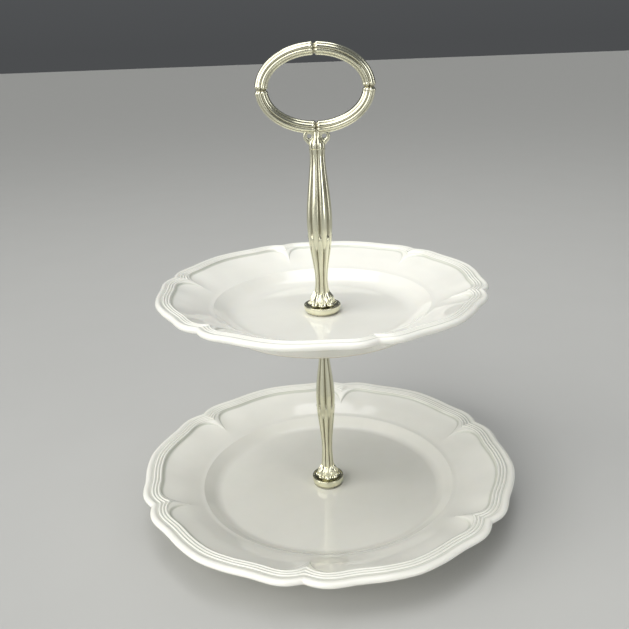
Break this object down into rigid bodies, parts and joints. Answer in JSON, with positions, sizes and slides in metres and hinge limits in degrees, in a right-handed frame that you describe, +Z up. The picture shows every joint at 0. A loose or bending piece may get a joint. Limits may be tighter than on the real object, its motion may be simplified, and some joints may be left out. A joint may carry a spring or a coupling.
{
  "type": "tiered cake stand",
  "caption": "Cake stand of lobed porcelain plates on a slim plated stem that screws together, with an oval carrying ring on top.",
  "frame": {"origin": "centre of the lower plate's foot ring, in the plane that the stand rests on", "axes": "+Z up the stem towards the carrying ring; the ring lies in the XZ plane and its hole runs along Y"},
  "size_m": [0.2614, 0.261, 0.3111],
  "materials": {
    "glazed_porcelain": "ivory white clear-glazed porcelain, high gloss",
    "silver_plate": "cast zinc alloy, polished and silver plated",
    "zinc_steel": "bright zinc plated steel",
    "clear_gasket": "soft translucent vinyl"
  },
  "bodies": {
    "lower_plate": {"lower_plate": "glazed_porcelain"},
    "stem": {"lower_collar_gasket": "clear_gasket", "lower_collar": "silver_plate", "lower_column": "silver_plate", "support_washer": "silver_plate", "support_gasket": "clear_gasket"},
    "upper_plate": {"upper_plate": "glazed_porcelain"},
    "upper_collar": {"upper_collar_gasket": "clear_gasket", "upper_collar": "silver_plate"},
    "handle": {"upper_stud": "zinc_steel", "upper_column": "silver_plate", "ring_handle": "silver_plate"},
    "base_washer": {"base_washer": "zinc_steel", "base_gasket": "clear_gasket"},
    "base_screw": {"base_screw": "zinc_steel"}
  },
  "joints": [
    {"name": "stem_turn", "type": "hinge", "parent": "lower_plate", "child": "stem", "pos_m": [0, 0, 0.0095], "axis": [0, 0, 1], "continuous": true},
    {"name": "upper_plate_turn", "type": "hinge", "parent": "stem", "child": "upper_plate", "pos_m": [0, 0, 0.138], "axis": [0, 0, 1], "continuous": true},
    {"name": "handle_travel", "type": "slide", "parent": "stem", "child": "upper_collar", "axis": [0, 0, 1], "range_m": [0, 0.0074]},
    {"name": "handle_turn", "type": "hinge", "parent": "upper_collar", "child": "handle", "pos_m": [0, 0, 0.1475], "axis": [0, 0, 1], "range_deg": [0, 3330]},
    {"name": "base_screw_travel", "type": "slide", "parent": "stem", "child": "base_washer", "axis": [0, 0, -1], "range_m": [0, 0.0074]},
    {"name": "base_screw_turn", "type": "hinge", "parent": "base_washer", "child": "base_screw", "pos_m": [0, 0, 0.0037], "axis": [0, 0, -1], "range_deg": [0, 3330]}
  ],
  "couplings": [
    {"joint": "handle_turn", "follows": "handle_travel", "rad_per_m": 7854},
    {"joint": "base_screw_turn", "follows": "base_screw_travel", "rad_per_m": 7854}
  ]
}
